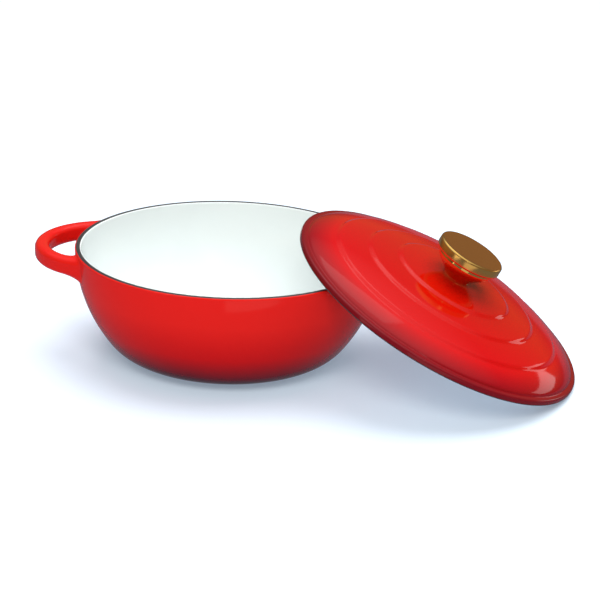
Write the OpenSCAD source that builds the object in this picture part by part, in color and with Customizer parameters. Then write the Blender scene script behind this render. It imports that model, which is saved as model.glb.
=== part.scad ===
// Enamelled cast iron dutch oven with a loose lid and a screwed-on metal knob.
// Millimetres, +Z up. The origin is the centre of the foot ring on the table,
// and the two loop handles point along -X and +X.
// The lid leans against the rim on the +X side, with its lowest edge on the table.

/* [Pot] */
// Height of the rim above the table
pot_h = 96; // [88:1:125]
// Radius of the outside of the rim
rim_r = 130; // [112:1:160]
// Iron thickness of the pot's wall
pot_wall = 4.4; // [3.5:0.1:6]
// Iron thickness of the pot's floor
floor_t = 5; // [4:0.1:8]
// Radius of the upper side wall, seen in section
side_arc_r = 129; // [110:1:155]
// Radius of the belly, seen in section
belly_arc_r = 38; // [31:1:46]
// Radius of the underside, seen in section
under_arc_r = 120; // [95:1:150]
// Slope from the vertical where the side wall meets the belly, in degrees
belly_start = 38; // [31:1:46]
// Slope from the vertical where the belly meets the underside, in degrees
belly_end = 80; // [70:1:84]
// Depth of the dark band on the outside of the rim, below its top
rim_band = 2.2; // [1.5:0.1:5]
// Rounding of the rim's two top edges
rim_round = 1.8; // [0.8:0.1:2.2]

/* [Foot] */
// Outer radius of the foot ring
foot_r = 65; // [50:1:66]
// Width of the foot ring
foot_w = 6; // [4:0.5:10]
// Height of the foot ring below the pot's underside
foot_h = 2; // [1:0.1:4]

/* [Handles] */
// How far a handle reaches beyond the rim
handle_reach = 37; // [28:1:45]
// Radius of the outside of the handle's loop, seen from above
handle_loop_r = 59; // [48:1:66]
// Thickness of the handle's bar, seen from above
handle_bar_w = 12.5; // [10:0.5:16]
// Height of the handle's bar
handle_bar_h = 15; // [11:0.5:18]
// Drop from the rim's top to the top of the handle's bar
handle_drop = 4; // [3:0.5:12]
// Rounding of the bar's four edges
handle_round = 5; // [3:0.5:5]

/* [Enamel] */
// Thickness of each glass enamel coat
enamel_t = 0.4; // [0.3:0.05:0.6]

/* [Lid] */
// How far the lid's edge reaches beyond the pot's rim when the lid is seated
lid_overhang = 1.3; // [0.5:0.1:4]
// Thickness of the lid's flange at its edge
flange_t = 5; // [4:0.1:7]
// Width of the flat flange outside the dome
flange_w = 5.5; // [4:0.5:9]
// Height of the dome's outside above the flange's lower face
lid_dome_h = 31; // [28:0.5:42]
// Fullness of the dome: lower is flatter on top and steeper at its edge
dome_power = 0.72; // [0.6:0.01:1]
// Height of each raised ring step on the lid
step_h = 1.5; // [0.8:0.1:2]
// Width of the slope of each ring step
step_w = 4; // [2.5:0.5:6]
// Distance from the lid's edge to the middle of the first ring step
step_edge = 28; // [24:1:32]
// Distance between the middles of two ring steps
step_pitch = 26; // [20:1:28]
// Iron thickness of the lid
lid_wall = 4; // [3:0.1:5]
// Gap between the locating ring and the inside of the pot's rim
locating_gap = 3.2; // [1:0.1:5]
// Width of the locating ring under the lid
locating_w = 3.2; // [2.5:0.1:6]
// Depth of the locating ring below the flange
locating_h = 3; // [2:0.1:6]

/* [Lean] */
// Where the lid is: leaning on the rim and the table, or seated on the pot
lid_place = "leaning"; // [leaning, seated]
// Tilt of the leaning lid, in degrees, for a pot 96 high and 130 in rim radius
lean_tilt = 26.9; // [25:0.1:32]
// Direction in which the lid slopes down, in degrees from +X
lean_heading = -2; // [-10:0.5:10]
// Gap left between the leaning lid and what it rests on
lean_gap = 0.3; // [0.2:0.05:0.5]

/* [Knob] */
// Radius of the knob's top disc
knob_r = 28.7; // [24:0.1:32]
// Height of the knob above the lid
knob_h = 27; // [24:0.5:32]
// Height of the disc's side band
knob_band_h = 8.5;   // [6:0.5:10.5]
// Radius of the knob's base on the lid
knob_base_r = 12; // [10:0.5:14]
// Wall of the knob's formed sheet metal
knob_wall = 1.2; // [0.8:0.1:1.6]
// Rounding of the disc's edges
knob_edge = 1.8; // [1.4:0.1:2.4]
// Width of the disc's underside outside the stem
knob_neck = 4; // [3:0.5:6]
// Thickness of the stem's flat base
knob_floor = 2; // [1.5:0.1:3]
// Width over the corners of the six-sided threaded insert in the knob
insert_d = 15; // [13:0.5:17]
// Height of the threaded insert
insert_h = 14; // [12:0.5:18]

/* [Fastener] */
// Diameter of the knob screw's shank
screw_d = 6; // [5:0.5:6]
// Diameter of the screw's head
screw_head_d = 12; // [10:0.5:14]
// Height of the screw's head
screw_head_h = 3.2; // [2.5:0.1:4]
// Length of the screw's shank inside the knob
screw_grip = 12; // [9:0.5:13]
// Gap all round the screw in the lid's hole
hole_gap = 0.5; // [0.3:0.1:1]
// Gap all round the screw in the plain bores of the washers and the insert
bore_gap = 0.1; // [0.05:0.05:0.3]
// Outer diameter of the flat washer
washer_d = 16; // [14:0.5:20]
// Thickness of the flat washer
washer_t = 1.2; // [0.8:0.1:2]
// Outer diameter of the spring lock washer
lock_d = 11.5; // [9.5:0.5:12]
// Thickness of the spring lock washer
lock_t = 1.5; // [1:0.1:2]

/* [Hidden] */
$fn = 96;

far = 4 * rim_r;                       // longer than anything in a section
pot_skin = pot_wall + 2 * enamel_t;    // iron with both of its coats
floor_z = foot_h + max(floor_t, pot_wall + 0.4);   // the floor is never thinner than the wall

// The side, belly and underside arcs touch without a corner, so their centres lie
// on shared radii, and chain is the step from the side arc's centre to the
// underside arc's. The side arc ends at the rim and the underside arc at the foot
// ring, so the side arc's centre is where two circles cross. Points are [radius, height].
chain = (side_arc_r - belly_arc_r) * [cos(belly_start), -sin(belly_start)]
      - (under_arc_r - belly_arc_r) * [cos(belly_end), -sin(belly_end)];
to_foot = [foot_r + 1, foot_h] - chain - [rim_r, pot_h];
to_foot_n = norm(to_foot);
along = (pow(side_arc_r, 2) - pow(under_arc_r, 2) + pow(to_foot_n, 2)) / (2 * to_foot_n);
aside = sqrt(pow(side_arc_r, 2) - pow(along, 2));
side_c = [rim_r, pot_h] + along * to_foot / to_foot_n
       + aside * [to_foot[1], -to_foot[0]] / to_foot_n;
belly_c = side_c + (side_arc_r - belly_arc_r) * [cos(belly_start), -sin(belly_start)];
under_c = belly_c - (under_arc_r - belly_arc_r) * [cos(belly_end), -sin(belly_end)];

handle_c = rim_r + handle_reach - handle_loop_r;      // centre of the loop
handle_z = pot_h - handle_drop - handle_bar_h / 2;    // middle of the bar
handle_bar_r = handle_loop_r - handle_bar_w / 2;      // middle line of the bar

lid_r = rim_r + lid_overhang;
dome_r = lid_r - flange_w;
dome_edge_h = flange_t + 1;
step_n = 3;
dome_rise = lid_dome_h - dome_edge_h - step_n * step_h;
rim_inner_r = rim_r - pot_skin;
locating_r = rim_inner_r - locating_gap;
hollow_r = locating_r - locating_w;
dome_pts = 64;                          // points along each dome curve

knob_z = lid_dome_h;                    // the knob stands on the dome's top
cap_z = knob_z + knob_h - knob_band_h;  // underside of the disc
screw_z = hollow(washer_d / 2);         // lid's underside at the washer's edge
head_z = screw_z - washer_t - lock_t;

// The lean. The lid tilts more on a taller pot and less on a wider one, in proportion.
// The lid's lowest edge is on the table, and the lower inner edge of its
// locating ring lies on the top of the rim at two places, where lean_cos is the
// cosine of the angle round the lid and [lean_x, lean_y] is the place on the rim.
tilt = asin(sin(lean_tilt) * (pot_h / 96) * (130 / rim_r));
lid_low = lid_r * sin(tilt) + lean_gap;
lean_cos = (lid_low - locating_h * cos(tilt) - pot_h - lean_gap) / (hollow_r * sin(tilt));
lean_y = hollow_r * sqrt(1 - lean_cos * lean_cos);
lean_x = sqrt(pow(rim_r - rim_round, 2) - lean_y * lean_y);
rim_lean_d = lean_x + locating_h * sin(tilt) - hollow_r * lean_cos * cos(tilt);

// Where the lid would come down on the handle's tip, it stands further out instead.
// tip is the handle's nearest point, from the lid's own origin.
tip = [rim_r + handle_reach - rim_lean_d - handle_round * (1 - sin(tilt)),
       pot_h - handle_drop - lid_low - handle_round * (1 - cos(tilt))];
tip_r = abs(tip[0] * cos(tilt) - tip[1] * sin(tilt));
tip_over = tip[0] * sin(tilt) + tip[1] * cos(tilt) - hollow(tip_r) + 3 * lean_gap;
lean_d = rim_lean_d + max(0, tip_over) / sin(tilt);

// Part of a circle in the section, between two directions from its centre
module sector(centre, radius, from, to) {
    intersection() {
        translate(centre) circle(radius);
        polygon([centre,
                 centre + far * [cos(from), sin(from)],
                 centre + far * [cos((from + to) / 2), sin((from + to) / 2)],
                 centre + far * [cos(to), sin(to)]]);
    }
}

// Everything inside the pot's curved wall, moved in by inset
module pot_fill(inset) {
    sector(side_c, side_arc_r - inset, -belly_start, 20);
    translate(belly_c) circle(belly_arc_r - inset);
    sector(under_c, under_arc_r - inset, -125, -belly_end);
    square([max(foot_r - foot_w / 2, under_c[0]), pot_h + 1]);
}

// The half plane of the section from the axis outwards, between two heights
module band(z0, z1) {
    translate([0, z0]) square([far, z1 - z0]);
}

// Filled section of the pot up to a top height, with its underside at a height
module pot_solid_2d(inset, bottom, top) {
    intersection() {
        pot_fill(inset);
        band(bottom, top);
    }
}

// The rim's rounded top, as the area in which the wall may stand
module rim_limit_2d() {
    r_out = rim_r - enamel_t;
    r_in = rim_inner_r + enamel_t;
    band(-far, pot_h - rim_round);
    translate([r_in + rim_round, 0]) square([r_out - r_in - 2 * rim_round, pot_h]);
    translate([r_out - rim_round, pot_h - rim_round]) circle(rim_round);
    translate([r_in + rim_round, pot_h - rim_round]) circle(rim_round);
}

module foot_2d() {
    translate([foot_r - foot_w, 0]) square([foot_w, foot_h + floor_t / 2]);
}

// Rounded section of a handle's bar, moved in by inset
module handle_2d(inset) {
    w = handle_bar_w - 2 * handle_round;
    h = handle_bar_h - 2 * handle_round;
    translate([handle_bar_r, 0]) {
        square([w, handle_bar_h - 2 * inset], center = true);
        square([handle_bar_w - 2 * inset, h], center = true);
        for (x = [-w / 2, w / 2], z = [-h / 2, h / 2])
            translate([x, z]) circle(handle_round - inset);
    }
}

// The two loops, whose ends run into the pot's wall
module handles(inset) {
    for (side = [0, 180])
        rotate(side) translate([handle_c, 0, handle_z])
            rotate(-100) rotate_extrude(angle = 200) handle_2d(inset);
}

module pot_casting() {
    color("#2b2b2d") difference() {
        union() {
            rotate_extrude() intersection() {
                pot_solid_2d(enamel_t, foot_h, pot_h);
                rim_limit_2d();
            }
            rotate_extrude() foot_2d();
            handles(enamel_t);
        }
        rotate_extrude()
            pot_solid_2d(enamel_t + pot_wall, floor_z, pot_h + 1);
    }
}

module pot_outer_enamel() {
    color("#d8242a") difference() {
        union() {
            rotate_extrude() pot_solid_2d(0, foot_h - enamel_t, pot_h - rim_band);
            handles(0);
        }
        rotate_extrude() {
            pot_solid_2d(enamel_t, foot_h, pot_h + 1);
            square([foot_r, foot_h + floor_t / 2]);
        }
        handles(enamel_t);
    }
}

module pot_inner_enamel() {
    color("#f6f4ec") rotate_extrude() difference() {
        pot_solid_2d(enamel_t + pot_wall, floor_z, pot_h - rim_round);
        pot_solid_2d(pot_skin, floor_z + enamel_t, pot_h + 1);
    }
}

// Height of the smooth dome at a radius, without its ring steps
function dome(r) = dome_edge_h + dome_rise * pow(max(0, 1 - pow(r / dome_r, 2)), dome_power);
// Share of a ring step that is reached at a radius, as a smooth slope
function ramp(t) = let (u = min(1, max(0, t))) u * u * (3 - 2 * u);
function steps(r) = step_h * (ramp((lid_r - step_edge - r) / step_w + 0.5)
                            + ramp((lid_r - step_edge - step_pitch - r) / step_w + 0.5)
                            + ramp((lid_r - step_edge - 2 * step_pitch - r) / step_w + 0.5));
// Radii that crowd towards the dome's edge, where it is steepest
function dome_radius(i, edge) = edge * sin(90 * i / dome_pts);

// Filled section of the lid's dome, flange and locating ring. The dome is lowered
// by drop and the flange's edge is moved in by it.
module lid_top_2d(drop) {
    polygon([[0, -locating_h],
             for (i = [0 : dome_pts]) let (r = dome_radius(i, dome_r))
                 [r, dome(r) + steps(r) - drop],
             [dome_r + 0.6, flange_t - drop],
             [lid_r - 1.6 - drop, flange_t - drop],
             [lid_r - drop, flange_t - 1.6 - drop],
             [lid_r - drop, 0],
             [locating_r, 0],
             [locating_r, -locating_h]]);
}

// Height of the lid's underside at a radius: it follows the dome without the steps
function hollow(r) = dome(r) + step_n * step_h * (1 - pow(r / hollow_r, 2))
                   - lid_wall - 2 * enamel_t;

// Filled section of the hollow under the dome, raised by lift
module lid_hollow_2d(lift) {
    polygon([[0, -locating_h - 1],
             for (i = [0 : dome_pts]) let (r = dome_radius(i, hollow_r)) [r, hollow(r) + lift],
             [hollow_r, -locating_h - 1]]);
}

// Puts what is modelled on the lid's own axis where the lid is
module place_lid() {
    if (lid_place == "seated")
        translate([0, 0, pot_h]) children();
    else
        rotate(lean_heading) translate([lean_d, 0, lid_low])
            rotate([0, tilt, 0]) children();
}

module screw_hole() {
    translate([0, 0, screw_z - 1])
        cylinder(d = screw_d + 2 * hole_gap, h = lid_dome_h - screw_z + 2);
}

module lid_casting() {
    color("#2b2b2d") place_lid() difference() {
        rotate_extrude() difference() {
            lid_top_2d(enamel_t);
            lid_hollow_2d(enamel_t);
        }
        screw_hole();
    }
}

module lid_outer_enamel() {
    color("#d8242a") place_lid() difference() {
        rotate_extrude() difference() {
            lid_top_2d(0);
            lid_top_2d(enamel_t);
            band(-1, 0.9);
        }
        screw_hole();
    }
}

module lid_inner_enamel() {
    color("#f6f4ec") place_lid() difference() {
        rotate_extrude() intersection() {
            difference() {
                lid_hollow_2d(enamel_t);
                lid_hollow_2d(0);
            }
            band(0, far);
        }
        screw_hole();
    }
}

// Section of the knob's top disc with its rounded edges, moved in by inset
module knob_disc_2d(inset) {
    r = knob_r - knob_edge;
    translate([0, cap_z + inset]) square([r, knob_band_h - 2 * inset]);
    translate([0, cap_z + knob_edge]) square([knob_r - inset, knob_band_h - 2 * knob_edge]);
    for (z = [knob_edge, knob_band_h - knob_edge])
        translate([r, cap_z + z]) circle(knob_edge - inset);
}

// Section of the stem, which swells from its base to the disc in an S-shaped curve.
// It is moved in by inset, and its bottom is raised by lift.
module knob_stem_2d(inset, lift) {
    h = cap_z - knob_z - lift;
    reach = knob_r - knob_neck - knob_base_r;
    polygon([[0, knob_z + lift],
             for (i = [0 : 16]) let (t = i / 16)
                 [knob_base_r - inset + reach * ramp(t / 0.85), knob_z + lift + h * t],
             [0, cap_z]]);
}

module knob_cap() {
    color("#c9963f") place_lid() rotate_extrude() difference() {
        knob_disc_2d(0);
        knob_disc_2d(knob_wall);
        translate([0, cap_z - 1])
            square([knob_r - knob_neck - knob_wall, knob_band_h / 2]);
    }
}

module knob_stem() {
    color("#c9963f") place_lid() rotate_extrude() difference() {
        knob_stem_2d(0, 0);
        knob_stem_2d(knob_wall, knob_floor);
        translate([0, knob_z - 1]) square([screw_d / 2 + hole_gap, knob_floor + 2]);
    }
}

module knob_insert() {
    color("#b9bbbd") place_lid() translate([0, 0, knob_z + knob_floor]) difference() {
        cylinder(d = insert_d, h = insert_h, $fn = 6);
        translate([0, 0, -1]) cylinder(d = screw_d + 2 * bore_gap, h = insert_h);
    }
}

module knob_screw() {
    color("#b9bbbd") place_lid() difference() {
        union() {
            translate([0, 0, head_z - screw_head_h]) cylinder(d = screw_head_d, h = screw_head_h);
            translate([0, 0, head_z - 0.5])
                cylinder(d = screw_d, h = knob_z + screw_grip - head_z);
        }
        for (turn = [0, 90])
            translate([0, 0, head_z - screw_head_h]) rotate(turn)
                cube([6, 1.2, 3], center = true);
    }
}

module flat_washer() {
    color("#b9bbbd") place_lid() translate([0, 0, screw_z - washer_t]) difference() {
        cylinder(d = washer_d, h = washer_t);
        translate([0, 0, -1]) cylinder(d = screw_d + 2 * bore_gap, h = washer_t + 2);
    }
}

module lock_washer() {
    color("#b9bbbd") place_lid() translate([0, 0, head_z]) difference() {
        cylinder(d = lock_d, h = lock_t);
        translate([0, 0, -1]) cylinder(d = screw_d + 2 * bore_gap, h = lock_t + 2);
        translate([0, -0.5, -1]) cube([lock_d, 1, lock_t + 2]);
    }
}

pot_casting();
pot_outer_enamel();
pot_inner_enamel();
lid_casting();
lid_outer_enamel();
lid_inner_enamel();
knob_cap();
knob_stem();
knob_insert();
knob_screw();
flat_washer();
lock_washer();
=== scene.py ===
import math

import bpy
from mathutils import Matrix, Vector


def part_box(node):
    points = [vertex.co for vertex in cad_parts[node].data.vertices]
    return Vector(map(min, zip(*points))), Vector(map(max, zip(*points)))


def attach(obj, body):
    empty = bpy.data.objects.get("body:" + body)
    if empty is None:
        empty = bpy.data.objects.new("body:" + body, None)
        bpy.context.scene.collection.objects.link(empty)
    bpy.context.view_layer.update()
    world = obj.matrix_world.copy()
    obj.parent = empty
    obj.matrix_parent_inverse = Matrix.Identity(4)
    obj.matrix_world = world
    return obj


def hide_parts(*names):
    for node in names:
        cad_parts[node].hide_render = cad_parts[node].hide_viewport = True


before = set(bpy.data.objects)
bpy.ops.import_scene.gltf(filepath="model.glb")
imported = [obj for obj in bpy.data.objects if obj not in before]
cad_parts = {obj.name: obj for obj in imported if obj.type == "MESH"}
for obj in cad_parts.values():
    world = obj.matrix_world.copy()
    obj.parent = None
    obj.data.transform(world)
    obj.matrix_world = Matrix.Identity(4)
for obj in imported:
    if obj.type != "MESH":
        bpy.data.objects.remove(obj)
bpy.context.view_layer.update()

scene = bpy.context.scene


# ---------------------------------------------------------------------------
# Table, camera and studio lights
#
# The oven stands on a plain pale table that runs on as its own backdrop. Softboxes
# behind and to the right draw the highlights on the lid, small ones light the knob,
# and a front light that the glaze doesn't mirror fills in. The room is dim and
# warm, so that the glaze keeps a deep colour.
# ---------------------------------------------------------------------------

CAMERA_PITCH = 20.07            # degrees below the horizontal
CAMERA_ROLL = 2.19
CAMERA_TURN = 7.5               # about the vertical, from looking straight along +Y
CAMERA_LENS = 120.0             # mm, on a 36 mm wide sensor
CAMERA_PLACE = Vector((0.0610, -1.600, 0.6346))   # before the turn

TABLE_SIZE = 12.0
TABLE_WHITE = "#c6d2db"
TABLE_GLOW = "#838f9d"              # light that comes through the paper from below
# Colours of the room from the horizon, at 0, to straight up, at 1
ROOM_COLOURS = ((0.0, "#73747f"), (0.04, "#4b4744"), (0.16, "#94704f"),
                (0.5, "#66666b"), (1.0, "#ffffff"))
SUN_STRENGTH = 2.8
SUN_SPREAD = 60.0                   # degrees, so its shadows are very soft
SUN_FROM = Vector((0.15, 0.35, 1))


def linear(hex_colour):
    """sRGB hex to linear RGBA."""
    channels = [int(hex_colour[i:i + 2], 16) / 255 for i in (1, 3, 5)]
    return tuple(c / 12.92 if c <= 0.04045 else ((c + 0.055) / 1.055) ** 2.4
                 for c in channels) + (1.0,)


def add_node(tree, kind, settings=(), inputs=(), links=()):
    """Adds a shader node. inputs sets sockets, links joins (socket, from node, from socket)."""
    node = tree.nodes.new(kind)
    for name, value in settings:
        setattr(node, name, value)
    for name, value in inputs:
        node.inputs[name].default_value = value
    for name, source, output in links:
        tree.links.new(source.outputs[output], node.inputs[name])
    return node


def colour_ramp(tree, source, output, stops):
    """A ramp of sRGB hex colours, given as (position, colour), along a node's output."""
    node = add_node(tree, "ShaderNodeValToRGB", links=[("Fac", source, output)])
    elements = node.color_ramp.elements
    elements[0].position, elements[0].color = stops[0][0], linear(stops[0][1])
    elements[1].position, elements[1].color = stops[-1][0], linear(stops[-1][1])
    for position, colour in stops[1:-1]:
        elements.new(position).color = linear(colour)
    return node


def new_material(name):
    """An empty material with its output and Principled shader joined."""
    material = bpy.data.materials.new(name)
    material.use_nodes = True
    shader = material.node_tree.nodes["Principled BSDF"]
    return material, material.node_tree, shader


def deselect():
    if bpy.context.object and bpy.context.object.mode == "EDIT":
        bpy.ops.object.mode_set(mode="OBJECT")
    bpy.ops.object.select_all(action="DESELECT")


def aim(place, target):
    """Turns a light so that it shines from place to target."""
    return (target - place).to_track_quat("-Z", "Y").to_euler()


turn = Matrix.Rotation(math.radians(CAMERA_TURN), 4, "Z")
bpy.ops.object.camera_add()
camera = bpy.context.object
camera.name = "view_camera"
camera.data.lens = CAMERA_LENS
camera.data.sensor_width = 36.0
camera.data.clip_end = 50.0
camera.matrix_world = (turn @ Matrix.Translation(CAMERA_PLACE)
                       @ Matrix.Rotation(math.radians(90 - CAMERA_PITCH), 4, "X")
                       @ Matrix.Rotation(math.radians(CAMERA_ROLL), 4, "Z"))
scene.camera = camera

deselect()
bpy.ops.mesh.primitive_plane_add(size=TABLE_SIZE)
table = bpy.context.object
table.name = "table"
table_white, tree, shader = new_material("table_white_paper")
shader.inputs["Base Color"].default_value = linear(TABLE_WHITE)
shader.inputs["Emission Color"].default_value = linear(TABLE_GLOW)
shader.inputs["Emission Strength"].default_value = 1.0
shader.inputs["Roughness"].default_value = 0.9
shader.inputs["Specular IOR Level"].default_value = 0.1
table.data.materials.append(table_white)
table.visible_glossy = False

room = bpy.data.worlds.new("dim_studio")
room.use_nodes = True
tree = room.node_tree
sky = tree.nodes["Background"]
direction = add_node(tree, "ShaderNodeTexCoord")
split = add_node(tree, "ShaderNodeSeparateXYZ", links=[("Vector", direction, "Generated")])
backdrop = colour_ramp(tree, split, "Z", ROOM_COLOURS)
tree.links.new(backdrop.outputs["Color"], sky.inputs["Color"])
scene.world = room
scene.view_settings.view_transform = "Standard"


def softbox(name, azimuth, height, distance, size, watts, target, colour="#ffffff", seen=True):
    """A rectangular area light aimed at a target, placed by its direction in degrees.

    seen says whether glossy surfaces mirror it."""
    turn, rise = math.radians(azimuth), math.radians(height)
    target = Vector(target)
    place = target + distance * Vector((math.cos(turn) * math.cos(rise),
                                        math.sin(turn) * math.cos(rise), math.sin(rise)))
    bpy.ops.object.light_add(type="AREA", location=place, rotation=aim(place, target))
    lamp = bpy.context.object
    lamp.name = name
    lamp.data.shape = "RECTANGLE"
    lamp.data.size, lamp.data.size_y = size
    lamp.data.energy = watts
    lamp.data.color = linear(colour)[:3]
    lamp.visible_glossy = seen


softbox("right_softbox", azimuth=40, height=11, distance=1.6, size=(0.75, 0.22), watts=0.7,
        target=(0.15, 0, 0.05))
softbox("back_softbox", azimuth=75, height=62, distance=1.6, size=(0.9, 0.6), watts=1.1,
        target=(0.10, 0, 0.05))
softbox("front_fill", azimuth=-84, height=40, distance=2.2, size=(1.2, 0.8), watts=28,
        target=(0, 0, 0.04), colour="#fffdf8", seen=False)
softbox("low_glint", azimuth=-82, height=-18, distance=0.5, size=(0.4, 0.16), watts=0.09,
        target=(0.2, 0, 0.1), colour="#fff4e6")
softbox("left_glint", azimuth=-130, height=4, distance=1.6, size=(0.6, 0.3), watts=0.5,
        target=(0.25, 0, 0.12), colour="#fff4e6")
softbox("front_glint", azimuth=-70, height=30, distance=1.8, size=(0.35, 0.25), watts=0.5,
        target=(0.2, 0, 0.1))

bpy.ops.object.light_add(type="SUN", rotation=aim(SUN_FROM, Vector((0, 0, 0))))
sun = bpy.context.object
sun.name = "ceiling_glow"
sun.data.energy = SUN_STRENGTH
sun.data.angle = math.radians(SUN_SPREAD)
sun.visible_glossy = False


# ---------------------------------------------------------------------------
# Pot: iron casting
#
# One sand casting of grey iron with its two loop handles. A thin black ground
# coat is fused all over it, and shows matt on the rim and the foot ring, where
# the colour coats stop.
# ---------------------------------------------------------------------------

IRON_BLACK, IRON_GREY = "#232325", "#3b3a3c"


def ground_coat():
    """Matt black glass ground coat on cast iron: faint grain from the sand mould."""
    material, tree, shader = new_material("black_ground_coat")
    place = add_node(tree, "ShaderNodeTexCoord")
    grain = add_node(tree, "ShaderNodeTexNoise", inputs=[("Scale", 900.0), ("Detail", 4.0)],
                     links=[("Vector", place, "Object")])
    mottle = add_node(tree, "ShaderNodeTexNoise", inputs=[("Scale", 90.0), ("Detail", 3.0)],
                      links=[("Vector", place, "Object")])
    tint = colour_ramp(tree, mottle, "Fac", ((0, IRON_BLACK), (1, IRON_GREY)))
    gloss = add_node(tree, "ShaderNodeMapRange", inputs=[("To Min", 0.32), ("To Max", 0.5)],
                     links=[("Value", mottle, "Fac")])
    bump = add_node(tree, "ShaderNodeBump", inputs=[("Strength", 0.25), ("Distance", 0.0003)],
                    links=[("Height", grain, "Fac")])
    tree.links.new(tint.outputs["Color"], shader.inputs["Base Color"])
    tree.links.new(gloss.outputs["Result"], shader.inputs["Roughness"])
    tree.links.new(bump.outputs["Normal"], shader.inputs["Normal"])
    return material


def dress(node, material):
    """Gives a CAD node its finish."""
    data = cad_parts[node].data
    data.materials.clear()
    data.materials.append(material)


black_coat = ground_coat()
dress("pot_casting", black_coat)


# ---------------------------------------------------------------------------
# Pot: red outer enamel
#
# A glossy glass coat, sprayed bright red and shaded with dark red towards the
# base, over the wall and both handles. It stops just under the rim and at the
# foot ring. The handles swell into the wall with cast fillets.
# ---------------------------------------------------------------------------

MM = 0.001
POT_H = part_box("pot_casting")[1].z
RIM_R = 130 * MM
COAT = 0.4 * MM                      # thickness of each enamel coat
RIM_ROUND = 1.8 * MM                 # rounding of the iron rim's two edges
WALL = 5.2 * MM                      # iron with both coats
FOOT_H = 2.0 * MM
SIDE_R, BELLY_R, UNDER_R = 129 * MM, 38 * MM, 120 * MM   # radii of the wall in section
BELLY_START, BELLY_END = math.radians(38), math.radians(80)
SIDE_C = Vector((1.00 * MM, 97.03 * MM))     # centre of the side arc, as [radius, height]

BELLY_C = SIDE_C + (SIDE_R - BELLY_R) * Vector((math.cos(BELLY_START), -math.sin(BELLY_START)))
UNDER_C = BELLY_C - (UNDER_R - BELLY_R) * Vector((math.cos(BELLY_END), -math.sin(BELLY_END)))
ROUND_STEPS = 192                    # faces round a turned piece


def arc(centre, radius, start, end, count):
    """Points of an arc in section, from one angle to another, in radians."""
    return [centre + radius * Vector((math.cos(a), math.sin(a)))
            for a in (start + (end - start) * i / (count - 1) for i in range(count))]


def wall_curve(inset, low, high):
    """The pot's wall in section, moved in by inset, between two heights, from the top down."""
    side = SIDE_R - inset
    under = UNDER_R - inset
    top = math.asin((high - SIDE_C.y) / side)
    foot = -math.asin(min(1, (UNDER_C.y - low) / under))
    return (arc(SIDE_C, side, top, -BELLY_START, 26)
            + arc(BELLY_C, BELLY_R - inset, -BELLY_START, -BELLY_END, 14)[1:]
            + arc(UNDER_C, under, -BELLY_END, foot, 12)[1:])


def wall_radius(z):
    """Outer radius of the pot's side wall at a height."""
    return SIDE_C.x + math.sqrt(SIDE_R ** 2 - (SIDE_C.y - z) ** 2)


COAT_TOP, COAT_SIDE = 46, 4          # degrees round the rim's shoulder that a coat covers
COAT_BACK = RIM_ROUND - 0.05 * MM    # a coat's back there, a little inside the iron
WALL_TOP = POT_H - RIM_ROUND - 0.3 * MM


def shoulder_coat(centre, side):
    """Outside of a coat in section, where it runs out over the rim's rounded shoulder."""
    coat = []
    for i in range(13):
        turn = math.radians(COAT_TOP - (COAT_TOP - COAT_SIDE) * i / 12)
        radius = RIM_ROUND + COAT * min(1, 0.1 + i / 6)
        coat.append(centre + radius * Vector((side * math.cos(turn), math.sin(turn))))
    return coat


def turned(name, outline, closed=True, steps=ROUND_STEPS):
    """Turns an outline of (radius, height) points round the vertical axis, as on a lathe."""
    deselect()
    bpy.ops.mesh.primitive_circle_add(vertices=3, radius=MM)
    piece = bpy.context.object
    piece.name = name
    bpy.ops.object.mode_set(mode="EDIT")
    bpy.ops.mesh.select_all(action="SELECT")
    bpy.ops.mesh.merge(type="CENTER")
    bpy.ops.transform.translate(value=(outline[0].x, 0, outline[0].y))
    here = outline[0]
    for point in outline[1:]:
        step = point - here
        bpy.ops.mesh.extrude_region_move(TRANSFORM_OT_translate={"value": (step.x, 0, step.y)})
        here = point
    if closed:
        bpy.ops.object.mode_set(mode="OBJECT")
        for vertex in piece.data.vertices:
            vertex.select = vertex.index in (0, len(outline) - 1)
        bpy.ops.object.mode_set(mode="EDIT")
        bpy.ops.mesh.edge_face_add()
    bpy.ops.mesh.select_all(action="SELECT")
    bpy.ops.mesh.spin(steps=steps, angle=math.tau, center=(0, 0, 0), axis=(0, 0, 1))
    bpy.ops.mesh.select_all(action="SELECT")
    bpy.ops.mesh.remove_doubles(threshold=1e-6)
    bpy.ops.mesh.normals_make_consistent(inside=False)
    bpy.ops.object.mode_set(mode="OBJECT")
    bpy.ops.object.shade_smooth_by_angle(angle=math.radians(40))
    return piece


def finish_piece(piece, material, body, slot, *nodes):
    """Gives a piece its finish and its body, and hides the CAD nodes that it stands for."""
    piece.data.materials.clear()
    piece.data.materials.append(material)
    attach(piece, body)
    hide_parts(*nodes)


LOOP_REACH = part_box("pot_outer_enamel")[1].x - RIM_R                 # handle beyond the rim
LOOP_R = 59 * MM                     # outside of the loop, seen from above
BAR_W, BAR_H = 12.5 * MM, 15 * MM
BAR_ROUND = 5 * MM
BAR_DROP = 4 * MM                    # below the rim's top
LOOP_C = RIM_R + LOOP_REACH - LOOP_R
BAR_Z = POT_H - BAR_DROP - BAR_H / 2
BAR_R = LOOP_R - BAR_W / 2
LOOP_SWEEP = math.radians(186)
LOOP_STEPS = 150
FILLET_REACH = 13 * MM               # along the bar
FILLET_SIDE = 7 * MM
FILLET_UNDER = 7 * MM
FILLET_TOP = 2 * MM


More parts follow.
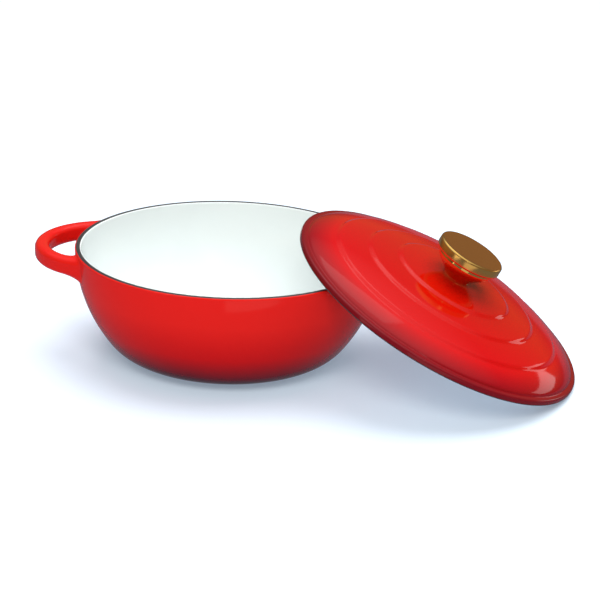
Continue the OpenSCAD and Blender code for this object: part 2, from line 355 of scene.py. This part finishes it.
def swell(vertex):
    """Moves a point of the bar outwards near the wall, along a quarter round.

    A point that is inside the wall ends under its coat."""
    place = vertex.co
    gap = math.hypot(place.x, place.y) - wall_radius(place.z)
    if gap > FILLET_REACH:
        return
    flat = Vector((place.x - LOOP_C, place.y, 0)).normalized()
    middle = Vector((LOOP_C, 0, BAR_Z)) + BAR_R * flat
    out = (place - middle).normalized()
    reach = FILLET_SIDE
    reach += (FILLET_TOP - FILLET_SIDE) * max(0, out.z) ** 2
    reach += (FILLET_UNDER - FILLET_SIDE) * max(0, -out.z) ** 2
    share = 1 - max(0, gap) / FILLET_REACH
    place += out * reach * (1 - math.sqrt(max(0, 1 - share ** 2)))
    radius = math.hypot(place.x, place.y)
    wall = wall_radius(place.z)
    if gap < 0:
        wanted = wall - COAT
    else:                            # keep the same distance from the wall lower down
        wanted = radius + share ** 2 * (wall + gap - radius)
    place.x *= wanted / radius
    place.y *= wanted / radius
    vertex.co = place


def loop_handle(name):
    """One loop handle on the +X side: a rounded bar spun round, swelling into the wall."""
    deselect()
    bpy.ops.mesh.primitive_plane_add(size=1)
    piece = bpy.context.object
    piece.name = name
    bpy.ops.object.mode_set(mode="EDIT")
    bpy.ops.mesh.select_all(action="SELECT")
    bpy.ops.transform.resize(value=(BAR_W, BAR_H, 1))
    bpy.ops.transform.rotate(value=math.radians(-90), orient_axis="X", center_override=(0, 0, 0))
    bpy.ops.mesh.bevel(offset=BAR_ROUND, segments=8, affect="VERTICES")
    bpy.ops.transform.translate(value=(BAR_R, 0, 0))
    bpy.ops.mesh.select_all(action="SELECT")
    bpy.ops.transform.rotate(value=-LOOP_SWEEP / 2, orient_axis="Z", center_override=(0, 0, 0))
    bpy.ops.mesh.spin(steps=LOOP_STEPS, angle=LOOP_SWEEP, center=(0, 0, 0), axis=(0, 0, 1))
    bpy.ops.mesh.select_all(action="SELECT")
    bpy.ops.transform.translate(value=(LOOP_C, 0, BAR_Z))
    bpy.ops.mesh.remove_doubles(threshold=1e-6)
    bpy.ops.mesh.normals_make_consistent(inside=False)
    bpy.ops.object.mode_set(mode="OBJECT")
    for vertex in piece.data.vertices:
        swell(vertex)
    bpy.ops.object.shade_smooth_by_angle(angle=math.radians(50))
    return piece


RED_MID = "#b90608"
# Colours from the base, at 0, to the rim, at 1
POT_REDS = ((0.14, "#3c0316"), (0.42, RED_MID), (0.75, "#cf1812"))


def enamel_surface(tree, shader, place):
    """The glaze's own surface: very smooth, with a faint long ripple from the firing."""
    ripple = add_node(tree, "ShaderNodeTexNoise", inputs=[("Scale", 28.0), ("Detail", 2.0)],
                      links=[("Vector", place, "Object")])
    bump = add_node(tree, "ShaderNodeBump", inputs=[("Strength", 0.04), ("Distance", 0.002)],
                    links=[("Height", ripple, "Fac")])
    tree.links.new(bump.outputs["Normal"], shader.inputs["Normal"])
    shader.inputs["Roughness"].default_value = 0.07
    shader.inputs["IOR"].default_value = 1.45
    shader.inputs["Specular IOR Level"].default_value = 0.4


def pot_red():
    """Red enamel of the pot: dark at the base, bright above."""
    material, tree, shader = new_material("red_enamel_pot")
    place = add_node(tree, "ShaderNodeTexCoord")
    split = add_node(tree, "ShaderNodeSeparateXYZ", links=[("Vector", place, "Object")])
    height = add_node(tree, "ShaderNodeMapRange", inputs=[("From Max", POT_H)],
                      links=[("Value", split, "Z")])
    cloud = add_node(tree, "ShaderNodeTexNoise", inputs=[("Scale", 14.0), ("Detail", 2.0)],
                     links=[("Vector", place, "Object")])
    mixed = add_node(tree, "ShaderNodeMath", [("operation", "MULTIPLY_ADD")],
                     inputs=[(1, 0.06)], links=[(0, cloud, "Fac"), (2, height, "Result")])
    ramp = colour_ramp(tree, mixed, "Value", POT_REDS)
    tree.links.new(ramp.outputs["Color"], shader.inputs["Base Color"])
    enamel_surface(tree, shader, place)
    return material


pot_enamel = pot_red()
shoulder = Vector((RIM_R - COAT - RIM_ROUND, POT_H - RIM_ROUND))
skin = (shoulder_coat(shoulder, 1)
        + wall_curve(0, FOOT_H - COAT, WALL_TOP)
        + list(reversed(wall_curve(COAT, FOOT_H, WALL_TOP)))
        + arc(shoulder, COAT_BACK, math.radians(COAT_SIDE), math.radians(COAT_TOP), 12))
pot_wall = turned("pot_red_wall", skin)
finish_piece(pot_wall, pot_enamel, "pot", "red_enamel", "pot_outer_enamel")

for name, side in (("right_loop_handle", 0), ("left_loop_handle", math.pi)):
    handle = loop_handle(name)
    handle.data.transform(Matrix.Rotation(side, 4, "Z"))
    finish_piece(handle, pot_enamel, "pot", "red_enamel", "pot_outer_enamel")


# ---------------------------------------------------------------------------
# Pot: white inner enamel
#
# A glossy off-white coat over the whole inside. The floor runs up into the wall
# in one soft curve.
# ---------------------------------------------------------------------------

FLOOR_T = 5 * MM
FLOOR_BLEND = 30 * MM                # length of the soft curve between floor and wall
WHITE_LOW, WHITE_HIGH = "#dfe7e8", "#e5eceb"


def cream_enamel():
    """Glossy off-white glass enamel, with a faint cloudiness."""
    material, tree, shader = new_material("white_enamel")
    place = add_node(tree, "ShaderNodeTexCoord")
    cloud = add_node(tree, "ShaderNodeTexNoise", inputs=[("Scale", 18.0), ("Detail", 3.0)],
                     links=[("Vector", place, "Object")])
    tint = colour_ramp(tree, cloud, "Fac", ((0, WHITE_LOW), (1, WHITE_HIGH)))
    tree.links.new(tint.outputs["Color"], shader.inputs["Base Color"])
    enamel_surface(tree, shader, place)
    return material


def inside_curve(inset, floor_z):
    """The pot's inside in section, from the rim down to the axis, with a blended floor corner."""
    points = wall_curve(inset, floor_z + 0.5 * MM, WALL_TOP)
    corner = points[-1].x
    start = [p for p in points if p.x > corner + FLOOR_BLEND / 2]
    a, b = start[-1], Vector((corner - FLOOR_BLEND / 2, floor_z))
    control = Vector((corner, floor_z))
    blend = [a.lerp(control, t).lerp(control.lerp(b, t), t) for t in (i / 12 for i in range(1, 13))]
    rest = [Vector((b.x * (1 - i / 4), floor_z)) for i in range(1, 5)]
    return start + blend + rest


white = cream_enamel()
shoulder = Vector((RIM_R - WALL + COAT + RIM_ROUND, POT_H - RIM_ROUND))
lower = inside_curve(WALL, FOOT_H + FLOOR_T + COAT)
upper = inside_curve(WALL - COAT, FOOT_H + FLOOR_T)
inside = turned("pot_white_inside",
                shoulder_coat(shoulder, -1)
                + lower + list(reversed(upper))
                + arc(shoulder, COAT_BACK,
                      math.radians(180 - COAT_SIDE), math.radians(180 - COAT_TOP), 12))
finish_piece(inside, white, "pot", "cream_enamel", "pot_inner_enamel")


# ---------------------------------------------------------------------------
# Lid: iron casting and red outer enamel
#
# A shallow dome with three raised ring steps and a flat flange, cast in iron.
# The red coat is brightest round the knob and shaded dark towards the edge. It
# stops just above the flange's lower edge, where the black ground coat shows.
# ---------------------------------------------------------------------------

KNOB_MIDDLE = 53.75 * MM             # middle of the knob's disc above the flange's underside


def node_middle(node):
    """Middle of a CAD node's box."""
    low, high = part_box(node)
    return (low + high) / 2


lid_axis = (node_middle("knob_cap") - node_middle("flat_washer")).normalized()
lid_origin = node_middle("knob_cap") - lid_axis * KNOB_MIDDLE
LID_LEAN = Vector((0, 0, 1)).rotation_difference(lid_axis).to_matrix().to_4x4()
LID_LEAN.translation = lid_origin
TO_LID = LID_LEAN.inverted()


def lay_on_lid(piece):
    """Moves a piece that was made on the vertical axis to the leaning lid, in its mesh."""
    piece.data.transform(LID_LEAN)
    piece.data.update()


def lid_place(tree):
    """A place, and a Mapping node that turns it into one on the lid's own axis."""
    place = add_node(tree, "ShaderNodeTexCoord")
    return place, add_node(tree, "ShaderNodeMapping",
                           inputs=[("Location", TO_LID.translation),
                                   ("Rotation", TO_LID.to_euler())],
                           links=[("Vector", place, "Object")])


def lid_radius(tree):
    """A place, and its distance from the lid's own axis."""
    place, local = lid_place(tree)
    split = add_node(tree, "ShaderNodeSeparateXYZ", links=[("Vector", local, "Vector")])
    flat = add_node(tree, "ShaderNodeCombineXYZ", links=[("X", split, "X"), ("Y", split, "Y")])
    return place, add_node(tree, "ShaderNodeVectorMath", [("operation", "LENGTH")],
                           links=[("Vector", flat, "Vector")])


LID_R = 131.3 * MM
FLANGE_T = 5 * MM
FLANGE_ROUND = 1.8 * MM
RED_STOP = 0.9 * MM                  # the red coat stops here, above the flange's underside
DOME_R = LID_R - 5.5 * MM
DOME_EDGE = FLANGE_T + 1 * MM
DOME_H = 31 * MM
DOME_POWER = 0.72
STEP_H, STEP_W = 1.5 * MM, 4 * MM
STEP_RADII = (LID_R - 28 * MM, LID_R - 54 * MM, LID_R - 80 * MM)
LID_WALL = 4 * MM
HOLLOW_R = 118.4 * MM
HOLE_R = 3.5 * MM
# Colours from the knob, at 0, to the flange's edge, at 1
LID_REDS = ((0.45, "#b40d03"), (0.82, RED_MID), (1.0, "#6a0813"))


def smooth_dome(r):
    """Height of the lid's outside at a radius, without its ring steps."""
    rise = DOME_H - DOME_EDGE - len(STEP_RADII) * STEP_H
    return DOME_EDGE + rise * max(0, 1 - (r / DOME_R) ** 2) ** DOME_POWER


def dome_height(r):
    """Height of the lid's outside at a radius, with its ring steps."""
    height = smooth_dome(r)
    for middle in STEP_RADII:
        u = min(1, max(0, (middle - r) / STEP_W + 0.5))
        height += STEP_H * u * u * (3 - 2 * u)
    return height


def hollow_height(r):
    """Height of the lid's underside at a radius."""
    return (smooth_dome(r) + len(STEP_RADII) * STEP_H * (1 - (r / HOLLOW_R) ** 2)
            - LID_WALL - 2 * COAT)


def dome_radii(edge, count):
    """Radii from the screw hole to the edge, closer together towards the edge."""
    share = [i / count for i in range(count + 1)]
    return [HOLE_R + (edge - HOLE_R) * (0.6 * u + 0.4 * math.sin(u * math.pi / 2)) for u in share]


def lid_top(drop):
    """The lid's outside in section, from the screw hole out and down the flange's edge."""
    curve = [Vector((r, dome_height(r) - drop)) for r in dome_radii(DOME_R, 120)]
    edge = arc(Vector((LID_R - FLANGE_ROUND, FLANGE_T - FLANGE_ROUND)), FLANGE_ROUND - drop,
               math.pi / 2, 0, 8)
    lip = [Vector((DOME_R + 0.2 * MM, DOME_EDGE - 0.5 * MM - drop)),
           Vector((DOME_R + 0.8 * MM, FLANGE_T + 0.1 * MM - drop)),
           Vector((DOME_R + 1.6 * MM, FLANGE_T - drop))]
    return curve + lip + edge + [Vector((LID_R - drop, RED_STOP))]


def lid_red():
    """Red enamel of the lid: bright in the middle, dark at the edge."""
    material, tree, shader = new_material("red_enamel_lid")
    place, radius = lid_radius(tree)
    share = add_node(tree, "ShaderNodeMapRange", inputs=[("From Max", LID_R)],
                     links=[("Value", radius, "Value")])
    ramp = colour_ramp(tree, share, "Result", LID_REDS)
    tree.links.new(ramp.outputs["Color"], shader.inputs["Base Color"])
    enamel_surface(tree, shader, place)
    return material


dress("lid_casting", black_coat)
lid_enamel = lid_red()
lid_skin = turned("lid_red_dome", lid_top(0) + list(reversed(lid_top(COAT))))
lay_on_lid(lid_skin)
finish_piece(lid_skin, lid_enamel, "lid", "red_enamel", "lid_outer_enamel")


# ---------------------------------------------------------------------------
# Lid: white inner enamel
#
# The same off-white coat lines the hollow under the dome, inside the locating
# ring.
# ---------------------------------------------------------------------------

def lid_under(lift):
    """The lid's underside in section, from the screw hole out to the locating ring."""
    edge = HOLLOW_R - COAT + lift
    return [Vector((r, hollow_height(r) + lift)) for r in dome_radii(edge, 60)]


lining = turned("lid_white_lining",
                lid_under(0) + [Vector((HOLLOW_R - COAT, 0)), Vector((HOLLOW_R, 0))]
                + list(reversed(lid_under(COAT))))
lay_on_lid(lining)
finish_piece(lining, white, "lid", "cream_enamel", "lid_inner_enamel")


# ---------------------------------------------------------------------------
# Knob
#
# A gold-toned steel knob: a formed disc with a rolled edge on a flared stem. It
# is polished, with a fine turned brushing on the disc's top.
# ---------------------------------------------------------------------------

KNOB_R = 28.7 * MM
KNOB_H = 27 * MM
BAND_H = 8.5 * MM
BASE_R = 12 * MM
KNOB_EDGE = 1.8 * MM
KNOB_NECK = 4 * MM
KNOB_Z = DOME_H
DISC_Z = KNOB_Z + KNOB_H - BAND_H
GOLD = "#f6c46a"
DISC_ROUGHNESS, STEM_ROUGHNESS = 0.16, 0.05
DISC_BRUSHING, STEM_BRUSHING = 0.3, 0.02


def gold_steel(name, roughness, brushing):
    """Gold-toned plated steel, polished or with turned brushing."""
    material, tree, shader = new_material(name)
    _, radius = lid_radius(tree)
    shader.inputs["Metallic"].default_value = 1.0
    rings = add_node(tree, "ShaderNodeCombineXYZ", links=[("X", radius, "Value")])
    grain = add_node(tree, "ShaderNodeTexNoise", inputs=[("Scale", 1400.0), ("Detail", 3.0)],
                     links=[("Vector", rings, "Vector")])
    gloss = add_node(tree, "ShaderNodeMapRange",
                     inputs=[("To Min", roughness * 0.7), ("To Max", roughness * 1.4)],
                     links=[("Value", grain, "Fac")])
    bump = add_node(tree, "ShaderNodeBump", inputs=[("Strength", brushing), ("Distance", 0.0001)],
                    links=[("Height", grain, "Fac")])
    shader.inputs["Base Color"].default_value = linear(GOLD)
    tree.links.new(gloss.outputs["Result"], shader.inputs["Roughness"])
    tree.links.new(bump.outputs["Normal"], shader.inputs["Normal"])
    return material


rim = KNOB_R - KNOB_EDGE
disc_outline = ([Vector((0, DISC_Z + BAND_H))]
                + [Vector((rim * i / 6, DISC_Z + BAND_H)) for i in range(1, 6)]
                + arc(Vector((rim, DISC_Z + BAND_H - KNOB_EDGE)), KNOB_EDGE, math.pi / 2, 0, 10)
                + arc(Vector((rim, DISC_Z + KNOB_EDGE)), KNOB_EDGE, 0, -math.pi / 2, 10)
                + [Vector((KNOB_R - KNOB_NECK - 1.2 * MM, DISC_Z)), Vector((0, DISC_Z + 1.2 * MM))])
disc = turned("knob_disc", disc_outline, closed=False)
lay_on_lid(disc)
finish_piece(disc, gold_steel("gold_steel_brushed", DISC_ROUGHNESS, DISC_BRUSHING),
             "lid", "gold_steel", "knob_cap")

stem_reach = KNOB_R - KNOB_NECK - BASE_R
stem_outline = [Vector((HOLE_R, KNOB_Z))]
for i in range(33):
    u = min(1, i / 32 / 0.85)
    stem_outline.append(Vector((BASE_R + stem_reach * u * u * (3 - 2 * u),
                                KNOB_Z + (DISC_Z - KNOB_Z) * i / 32)))
stem_outline.append(Vector((HOLE_R, DISC_Z)))
stem = turned("knob_stem_flare", stem_outline)
lay_on_lid(stem)
finish_piece(stem, gold_steel("gold_steel_polished", STEM_ROUGHNESS, STEM_BRUSHING),
             "lid", "gold_steel", "knob_stem")


# ---------------------------------------------------------------------------
# Screw, washers and insert
#
# A cross-slotted M6 screw with a flat and a spring washer holds the knob from
# under the lid, in a six-sided insert. They are stainless steel.
# ---------------------------------------------------------------------------

STEEL = "#c3c4c6"


def stainless():
    """Satin stainless steel."""
    material, tree, shader = new_material("satin_stainless")
    place = add_node(tree, "ShaderNodeTexCoord")
    grain = add_node(tree, "ShaderNodeTexNoise", inputs=[("Scale", 800.0), ("Detail", 3.0)],
                     links=[("Vector", place, "Object")])
    gloss = add_node(tree, "ShaderNodeMapRange", inputs=[("To Min", 0.22), ("To Max", 0.4)],
                     links=[("Value", grain, "Fac")])
    shader.inputs["Base Color"].default_value = linear(STEEL)
    shader.inputs["Metallic"].default_value = 1.0
    tree.links.new(gloss.outputs["Result"], shader.inputs["Roughness"])
    return material


steel = stainless()
for node in ("knob_screw", "flat_washer", "lock_washer", "knob_insert"):
    dress(node, steel)
